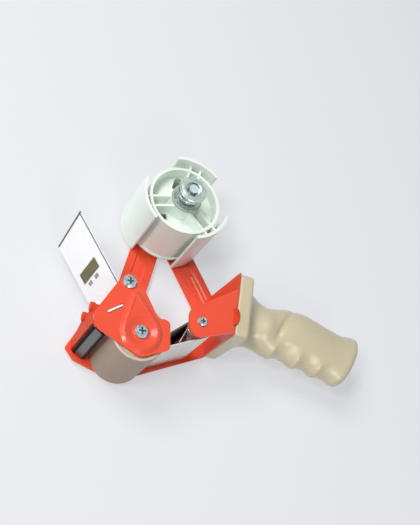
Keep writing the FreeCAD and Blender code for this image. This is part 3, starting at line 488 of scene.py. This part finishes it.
def grip_point(t, angle, scale=1.0, dome=0.0):
    top, low, half = ring_size(min(t, grip_len))
    up, side = math.cos(angle), math.sin(angle)
    n = (top + low) / 2 + (top - low) / 2 * up * scale
    wide = half * side * scale
    belly = ramp(-up, belly_from, belly_to)
    shift = palm_swell(t, n) * abs(side) ** flank_power * scale
    shift += (ridge_out - hollow_depth(t)) * belly * scale
    n += up * shift
    wide += side * shift * flank_share
    slant = slant_most * ramp(t, slant_from, grip_len) * (n - slant_mid) / (top - low)
    return grip_place(t + slant + dome, n, grip_mid_z + wide)


print("top of the palm", [round(v, 4) for v in grip_point(48.0, 0.0)])

# %% [markdown]
# The ring's points keep their angle in a vertex layer. Extruding copies the layer, so each new ring knows where
# its points belong without counting them. At the butt the rings shrink over a low dome with a square shoulder,
# and one last face closes it.

# %% Rings of the grip
root_t, first_t, ring_step, ring_points = -6.0, -3.5, 1.5, 72
dome_steps, dome_high, dome_square = 12, 8.5, 2.6

grip = bmesh.new()
angle_of = grip.verts.layers.float.new("angle")
bmesh.ops.create_circle(grip, cap_ends=False, segments=ring_points, radius=1.0)
for vert in grip.verts:
    vert[angle_of] = math.atan2(vert.co.y, vert.co.x)
    vert.co = grip_point(root_t, vert[angle_of])
rim = list(grip.edges)
bmesh.ops.contextual_create(grip, geom=rim)


def next_ring(edges, t, scale=1.0, dome=0.0):
    made = bmesh.ops.extrude_edge_only(grip, edges=edges)["geom"]
    for item in made:
        if isinstance(item, bmesh.types.BMVert):
            item.co = grip_point(t, item[angle_of], scale, dome)
    return [item for item in made if isinstance(item, bmesh.types.BMEdge) and len(item.link_faces) == 1]


station = first_t
while station < grip_len:
    rim = next_ring(rim, station)
    station += ring_step
for step in range(1, dome_steps + 1):
    u = math.sin(math.pi / 2 * step / (dome_steps + 0.5))
    rim = next_ring(rim, grip_len, (1 - u ** dome_square) ** (1 / dome_square), dome_high * u)
bmesh.ops.contextual_create(grip, geom=rim)
print("grip points", len(grip.verts))

# %% [markdown]
# The flange that bolts to the rear wall is a slab whose upper edge drops towards the near side, as the wall's
# does. It starts as a cube, its corners go to their places, and every edge but the ones on the wall is rounded.

# %% Flange of the grip
near_face = 64.5
upper_drop, lower_drop, flange_round = 3.5, 2.0, 3.0
flange = bmesh.ops.create_cube(grip, size=2.0)["verts"]
for vert in flange:
    near = vert.co.z > 0
    up_end = vert.co.x < 0
    out = flange_t if vert.co.y > 0 else 0.0
    down = (upper_drop if near else 0.0) if up_end else wall_run + (lower_drop if near else -lower_drop)
    flat = wall_top + wall_down * down + wall_out * out
    vert.co = mm(flat.x, flat.y, near_face if near else 0.0)
flange_faces = {face for vert in flange for face in vert.link_faces}
bmesh.ops.recalc_face_normals(grip, faces=list(flange_faces))
flange_edges = {edge for vert in flange for edge in vert.link_edges}


def off_wall(edge):
    halfway = (edge.verts[0].co + edge.verts[1].co) / 2 / MM
    return (halfway.xy - wall_top).dot(wall_out) > 1.0


bmesh.ops.bevel(grip, geom=[e for e in flange_edges if off_wall(e)], offset=flange_round * MM,
                offset_type="OFFSET", segments=4, profile=0.5, affect="EDGES", material=-1)
print("points with the flange", len(grip.verts))

# %% [markdown]
# Neck and flange are one moulding, with no line where they meet. A voxel remesh welds the two closed shapes into
# one skin, and a little smoothing rounds the inner corner, as the radius of the mould does.

# %% Weld the two and round the corner
handle = piece_from(grip, "moulded_grip", grip_plastic, "frame")
weld = handle.modifiers.new("weld", "REMESH")
weld.mode = "VOXEL"
weld.voxel_size = 0.7 * MM
weld.use_smooth_shade = True
soften = handle.modifiers.new("soften", "SMOOTH")
soften.factor = 0.6
soften.iterations = 14
welded = bpy.data.meshes.new_from_object(handle.evaluated_get(bpy.context.evaluated_depsgraph_get()))
handle.modifiers.clear()
handle.data = welded
welded.name = "moulded_grip"
if not welded.materials:
    welded.materials.append(grip_plastic)
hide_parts("handle_grip")
print("welded grip", len(welded.polygons), "faces")

# %% [markdown]
# ## Edges of the flap
# The flap that presses the tape down is a springy plastic sheet. Its near edge and its tip show as dark grey
# lines. The CAD sheet stays, and two slim dark grey bars sit on its near edge and its tip. First the corners of
# the leaf: its foot stands aslant, and the leaf rises from it with a lean.

# %% Corners of the leaf
foot_turn, leaf_lean = math.radians(34.0), math.radians(122.4)
foot_along = Vector((math.cos(foot_turn), math.sin(foot_turn), 0))
leaf_up = Vector((math.cos(leaf_lean), math.sin(leaf_lean), 0))
foot_mid = mm(-55.9, -109.9, 0)
far_along, far_z, far_long = 9.6, 8.0, 78.5
near_along, near_z, near_long = 14.6, 60.0, 81.5

far_root = foot_mid + foot_along * far_along * MM + mm(0, 0, far_z)
near_root = foot_mid + foot_along * near_along * MM + mm(0, 0, near_z)
far_tip = far_root + leaf_up * far_long * MM
near_tip = near_root + leaf_up * near_long * MM
leaf_across = (far_tip - near_tip + far_root - near_root).normalized()
leaf_face = (near_root - far_root).cross(leaf_up).normalized()
print("leaf corners", [[round(v / MM, 1) for v in p] for p in (near_root, near_tip, far_tip, far_root)])

# %% [markdown]
# An edge bar starts as a cube, takes its place along an edge, and is bevelled all round. Two helpers do that,
# and many small pieces further down use them again.

# %% Edge bars
free_from, edge_bar_thick = 3.0, 1.5


def bar_between(shape, start, end, face, wide, thick):
    length = (end - start).length
    ahead = (end - start).normalized()
    aside = face.cross(ahead).normalized()
    turn_to = Matrix((ahead, aside, face)).transposed().to_4x4()
    turn_to.translation = (start + end) / 2
    sized = Matrix.Diagonal((length, wide, thick, 1.0))
    return bmesh.ops.create_cube(shape, size=1.0, matrix=turn_to @ sized)["verts"]


def round_edges(shape, verts, radius, segments=2):
    edges = {edge for vert in verts for edge in vert.link_edges}
    bmesh.ops.bevel(shape, geom=list(edges), offset=radius, offset_type="OFFSET", segments=segments, profile=0.5,
                    affect="EDGES", material=-1)


edge_grey = finish_of("edge_grey", seen(92, 97, 98), 0.45, shade=0.1, grain=1200, relief=0.1)
near_start = near_root + leaf_up * free_from * MM
tip_way = (far_tip - near_tip).normalized()
for name, start, end, inward, wide, inset in (("flap_edge_near", near_start, near_tip, tip_way, 1.4, 0.05),
                                              ("flap_edge_tip", near_tip, far_tip, -leaf_up, 1.6, 0.3)):
    edge_bar = bmesh.new()
    shift = inward * (wide / 2 + inset) * MM
    bar = bar_between(edge_bar, start + shift, end + shift, leaf_face, wide * MM, edge_bar_thick * MM)
    round_edges(edge_bar, bar, 0.25 * MM)
    piece_from(edge_bar, name, edge_grey, "flap", smooth=False)
print("the tip is", round((far_tip - near_tip).length / MM, 1), "mm wide")

# %% [markdown]
# The outside of the leaf carries a small dark olive panel, left bare, with two short grey bars under it. They are
# thin films that lie on the sheet, a tenth of a millimetre proud, and they turn with the leaf.

# %% Bare panel on the flap
panel_olive = finish_of("panel_olive", seen(104, 98, 62), 0.5, shade=0.16, grain=1500, relief=0.1)
bar_grey = finish_of("bar_grey", seen(152, 152, 142), 0.5, shade=0.1)
outside = leaf_face if leaf_face.x < 0 else -leaf_face
film_level, film_thick = 0.55, 0.12


def film(name, up, across, tall, long, finish):
    sheet = bmesh.new()
    film_mid = near_root + leaf_up * up * MM + leaf_across * across * MM + outside * film_level * MM
    reach = leaf_across * long / 2 * MM
    bar = bar_between(sheet, film_mid - reach, film_mid + reach, outside, tall * MM, film_thick * MM)
    round_edges(sheet, bar, 0.04 * MM, segments=1)
    piece_from(sheet, name, finish, "flap", smooth=False)


film("flap_panel", 43.2, 28.0, 9.0, 31.4, panel_olive)
film("flap_bar_a", 35.6, 22.0, 3.2, 6.4, bar_grey)
film("flap_bar_b", 35.6, 34.8, 3.2, 6.4, bar_grey)
print("outside of the leaf faces", [round(v, 2) for v in outside])

# %% [markdown]
# ## Thread on the hub bolt
# The end of the bolt stands in the well of the tension nut, and there one sees that it is threaded. A fine zigzag
# profile is spun round the hub axis. At this size plain grooves can't be told from a helix, and they close by
# themselves. The profile is a closed ring that ends inside the bolt, so no face lies on the bolt's own end.

# %% Thread


def closed_ring(shape, places):
    verts = [shape.verts.new(place) for place in places]
    return verts, [shape.edges.new(pair) for pair in zip(verts, verts[1:] + verts[:1])]


def spin_ring(shape, places, centre, steps):
    verts, edges = closed_ring(shape, places)
    bmesh.ops.spin(shape, geom=verts + edges, cent=centre, axis=(0, 0, 1), angle=math.tau, steps=steps,
                   use_merge=True, use_duplicate=False)


bolt_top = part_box("hub_axle")[1].z
thread_turns, thread_shown, inner_r = 4, 3.6 * MM, 3.6 * MM
thread_r, thread_deep, thread_pitch = 4.25 * MM, 0.45 * MM, 0.8 * MM
start_z = bolt_top - thread_shown
outline = [Vector((inner_r, 0, start_z)), Vector((thread_r - thread_deep, 0, start_z))]
for turn_no in range(thread_turns):
    z = start_z + turn_no * thread_pitch
    outline.append(Vector((thread_r, 0, z + thread_pitch * 0.35)))
    outline.append(Vector((thread_r - thread_deep, 0, z + thread_pitch * 0.85)))
outline.append(Vector((inner_r, 0, start_z + thread_turns * thread_pitch)))

thread = bmesh.new()
spin_ring(thread, outline, (0, 0, 0), 40)
# Dark steel, a darker copy of the bolt's steel, painted on as the shade of the nut's well round the bolt
thread_painted_shade = finish_of("thread_painted_shade", seen(84, 96, 94), 0.36, metal=0.8, shade=0.15)
piece_from(thread, "bolt_thread", thread_painted_shade, "frame", smooth=False)
print("the bolt ends at", round(bolt_top / MM, 1), "mm")

# %% [markdown]
# The nut's face isn't flat. A low turned crown runs round the well, and its two slopes catch the light as a bright
# and a dark ring. Six points give its section, as radius and height over the face, and a spin turns it.

# %% Crown of the tension nut
nut_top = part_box("tension_nut")[1].z
crown_section = [(6.5, -0.2), (6.5, 0.25), (6.9, 0.55), (8.6, 0.55), (10.3, 0.05), (10.3, -0.2)]
crown = bmesh.new()
spin_ring(crown, [mm(radius, 0, up) + Vector((0, 0, nut_top)) for radius, up in crown_section], (0, 0, 0), 64)
piece_from(crown, "nut_crown", nut_steel, "nut", smooth=False)
print("the nut's face is", round(nut_top / MM, 1), "mm up")

# %% [markdown]
# ## Rolled shoulder of the teardrop
# The press leaves a soft rolled edge round the teardrop of the near plate, wide enough for a long highlight. CAD
# keeps a sharp step there. A teardrop is two circles and their tangents, so the way round it is a list of
# stations: round the roller screw, up one side, round the small end and back.

# %% Stations round the teardrop
big_at, big_r = Vector((-35.6, -125.2)), 15.2
small_at, small_r = Vector((-40.8, -98.2)), 3.4
big_steps, side_steps, small_steps = 48, 8, 12
heading = math.atan2(small_at.y - big_at.y, small_at.x - big_at.x)
spread = math.acos((big_r - small_r) / (small_at - big_at).length)


def side_station(share, towards):
    return big_at.lerp(small_at, share), big_r + (small_r - big_r) * share, towards


stations = []
for step in range(big_steps + 1):
    stations.append((big_at, big_r, heading + spread + (math.tau - 2 * spread) * step / big_steps))
for step in range(1, side_steps):
    stations.append(side_station(step / side_steps, heading - spread))
for step in range(small_steps + 1):
    stations.append((small_at, small_r, heading - spread + 2 * spread * step / small_steps))
for step in range(1, side_steps):
    stations.append(side_station(1 - step / side_steps, heading + spread))
print("stations round the teardrop", len(stations))

# %% [markdown]
# The section of the shoulder is given as offset from the teardrop's line and height over the plate. Each of its
# points keeps its number in a vertex layer, the section is extruded from station to station, and its last ring is
# bridged to the first.

# %% Shoulder
shoulder_section = [(1.8, -0.15), (1.5, 0.12), (0.9, 0.42), (0.1, 0.95), (-0.7, 1.5), (-1.5, 1.84), (-2.3, 1.95),
                    (-2.9, 1.85), (-3.3, 1.6), (-3.2, 1.3), (0.2, -0.3)]


def on_teardrop(station, offset, up):
    centre, radius, towards = station
    return mm(centre.x + (radius + offset) * math.cos(towards), centre.y + (radius + offset) * math.sin(towards),
              near_face + up)


shoulder = bmesh.new()
number_of = shoulder.verts.layers.int.new("place")
first_verts, first_rim = closed_ring(shoulder, [on_teardrop(stations[0], *point) for point in shoulder_section])
for number, vert in enumerate(first_verts):
    vert[number_of] = number
rim = first_rim
for station_at in stations[1:]:
    made = bmesh.ops.extrude_edge_only(shoulder, edges=rim)["geom"]
    new_verts = {item for item in made if isinstance(item, bmesh.types.BMVert)}
    for vert in new_verts:
        vert.co = on_teardrop(station_at, *shoulder_section[vert[number_of]])
    rim = [item for item in made if isinstance(item, bmesh.types.BMEdge) and new_verts.issuperset(item.verts)]
bmesh.ops.bridge_loops(shoulder, edges=rim + first_rim)
piece_from(shoulder, "teardrop_shoulder", red_enamel, "frame")
print("section of the shoulder has", len(shoulder_section), "points")

# %% [markdown]
# ## Rails on the arm of the handle
# Beside the stamped channel of this arm the press leaves two fine raised rails, seen as two bright lines. They
# are long bars, half sunk in the plate and rounded to a half circle. Their enamel is painted paler, as a painted
# highlight.

# %% Rails
plate_inside = 5.1
rail_wide, rail_high = 1.2, 1.7
# A paler red, painted on as the highlight along the rails
painted_highlight_enamel = finish_of("painted_highlight_enamel", seen(252, 148, 126), 0.24, coat=0.15, specular=0.3)
for name, start, end in (("arm_rail_outer", (30.8, -37.0), (43.6, -60.6)),
                         ("arm_rail_inner", (28.6, -41.6), (41.8, -66.2))):
    rail = bmesh.new()
    bar = bar_between(rail, mm(*start, plate_inside), mm(*end, plate_inside), Vector((0, 0, 1)), rail_wide * MM,
                      rail_high * MM)
    round_edges(rail, bar, 0.5 * MM, segments=3)
    piece_from(rail, name, painted_highlight_enamel, "frame")
print("rails on the plate's inner face, at", plate_inside, "mm")

# %% [markdown]
# ## Lug of the near tab
# Half way down its edge the near tab carries a small lug that laps over the side of the grip's flange. It is a
# rounded outline of six corners, extruded and bevelled, that lies on the tab and on the flange.

# %% Lug


def prism(shape, corners, low, high):
    base = [shape.verts.new(mm(x, y, low)) for x, y in corners]
    lid = bmesh.ops.extrude_face_region(shape, geom=[shape.faces.new(base)])["geom"]
    raised = [item for item in lid if isinstance(item, bmesh.types.BMVert)]
    bmesh.ops.translate(shape, verts=raised, vec=mm(0, 0, high - low))


lug_outline = [(40.0, -92.7), (43.8, -92.7), (45.4, -96.0), (45.2, -101.6), (43.2, -105.6), (39.8, -107.4)]
lug_low, lug_high = near_face - 0.2, near_face + 1.3
lug = bmesh.new()
prism(lug, lug_outline, lug_low, lug_high)
round_edges(lug, lug.verts[:], 0.5 * MM, segments=3)
piece_from(lug, "tab_lug", scuffed_enamel, "frame")
print("lug of", len(lug_outline), "corners on the near tab")

# %% [markdown]
# ## Painted shade in the cross recesses
# The cross in a screw head reads as a dark mark, because its bottom lies in shade. That shade is painted in: a
# thin dark plus, extruded from its twelve corners, fills the lowest part of each recess on the loading side.
# Three corners make one arm of the plus, and quarter turns give the others.

# %% Floors of the recesses
# A dark finish, painted on as the shade at the bottom of each recess
recess_painted_shade = finish_of("recess_painted_shade", seen(66, 74, 76), 0.5, shade=0.2, specular=0.2)
arm_half, floor_low, floor_high = 0.55, -1.4, -0.65
for node, reach in (("post_screws", 2.6), ("axle_screws", 2.6), ("pivot_screws", 1.85)):
    head_low, head_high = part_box(node)
    head_mid = (head_low + head_high) / 2 / MM
    head_top = head_high.z / MM
    arm = [Vector((reach, -arm_half)), Vector((reach, arm_half)), Vector((arm_half, arm_half))]
    corners = [head_mid.xy + Matrix.Rotation(math.pi / 2 * side, 2) @ point for side in range(4) for point in arm]
    plus = bmesh.new()
    prism(plus, corners, head_top + floor_low, head_top + floor_high)
    piece_from(plus, node.replace("screws", "recess"), recess_painted_shade, "frame", smooth=False)
print("floors of the recesses", round(floor_high - floor_low, 2), "mm thick")

# %% [markdown]
# ## Light rings at the roller's ends
# The rubber sleeve doesn't reach the ends of the moulded core. A narrow light collar stays visible there, below
# the front plate. It is spun from a small rounded section, once for each end.

# %% Collars of the roller
sleeve_low, sleeve_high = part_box("roller_sleeve")
roller_mid = (sleeve_low + sleeve_high) / 2
collar_section = [(19.0, -0.2), (19.0, 0.45), (21.2, 0.5), (21.55, 0.2), (21.65, -0.2)]
for name, face_z, way in (("roller_collar_near", sleeve_high.z, 1), ("roller_collar_far", sleeve_low.z, -1)):
    section = [mm(r, 0, 0) + Vector((roller_mid.x, roller_mid.y, face_z + way * up * MM))
               for r, up in collar_section]
    collar = bmesh.new()
    spin_ring(collar, section, (roller_mid.x, roller_mid.y, 0), 72)
    piece_from(collar, name, core_plastic, "roller")
print("collars at", round(sleeve_low.z / MM, 1), round(sleeve_high.z / MM, 1))

# %% [markdown]
# ## Painted shade beside the blade
# Between guard and blade lies a slot in shade, and the toothed edge of the blade lies in shade too. Both shades
# are painted as dark slim bars with rounded edges, set against the blade's own faces and as long as the blade.

# %% Painted shade strips beside the blade
blade_low, blade_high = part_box("cutting_blade")
blade_heading = math.radians(-39.0)
blade_along = Vector((math.cos(blade_heading), math.sin(blade_heading), 0))
blade_front = Vector((blade_along.y, -blade_along.x, 0))
blade_knee = mm(-71.1, -125.5, 0)
# A near-black finish, painted on as the shade of the slot and of the toothed edge
painted_shade_strip = finish_of("painted_shade_strip", seen(30, 18, 16), 0.6, shade=0.2, relief=0.3, specular=0.08)


def strip(name, along, out, wide, thick):
    bar = bmesh.new()
    at = blade_knee + blade_along * along * MM + blade_front * out * MM
    low = Vector((at.x, at.y, blade_low.z))
    high = Vector((at.x, at.y, blade_high.z))
    verts = bar_between(bar, low, high, blade_front, wide * MM, thick * MM)
    round_edges(bar, verts, min(wide, thick) * 0.3 * MM)
    piece_from(bar, name, painted_shade_strip, "frame", smooth=False)


strip("blade_slot_shade", 1.2, 0.45, 2.4, 0.9)
strip("tooth_edge_shade", 8.9, -1.5, 3.4, 1.2)
print("blade from", round(blade_low.z / MM, 1), "to", round(blade_high.z / MM, 1), "mm")

# %% [markdown]
# ## Last cell

# %% Last cell
import json
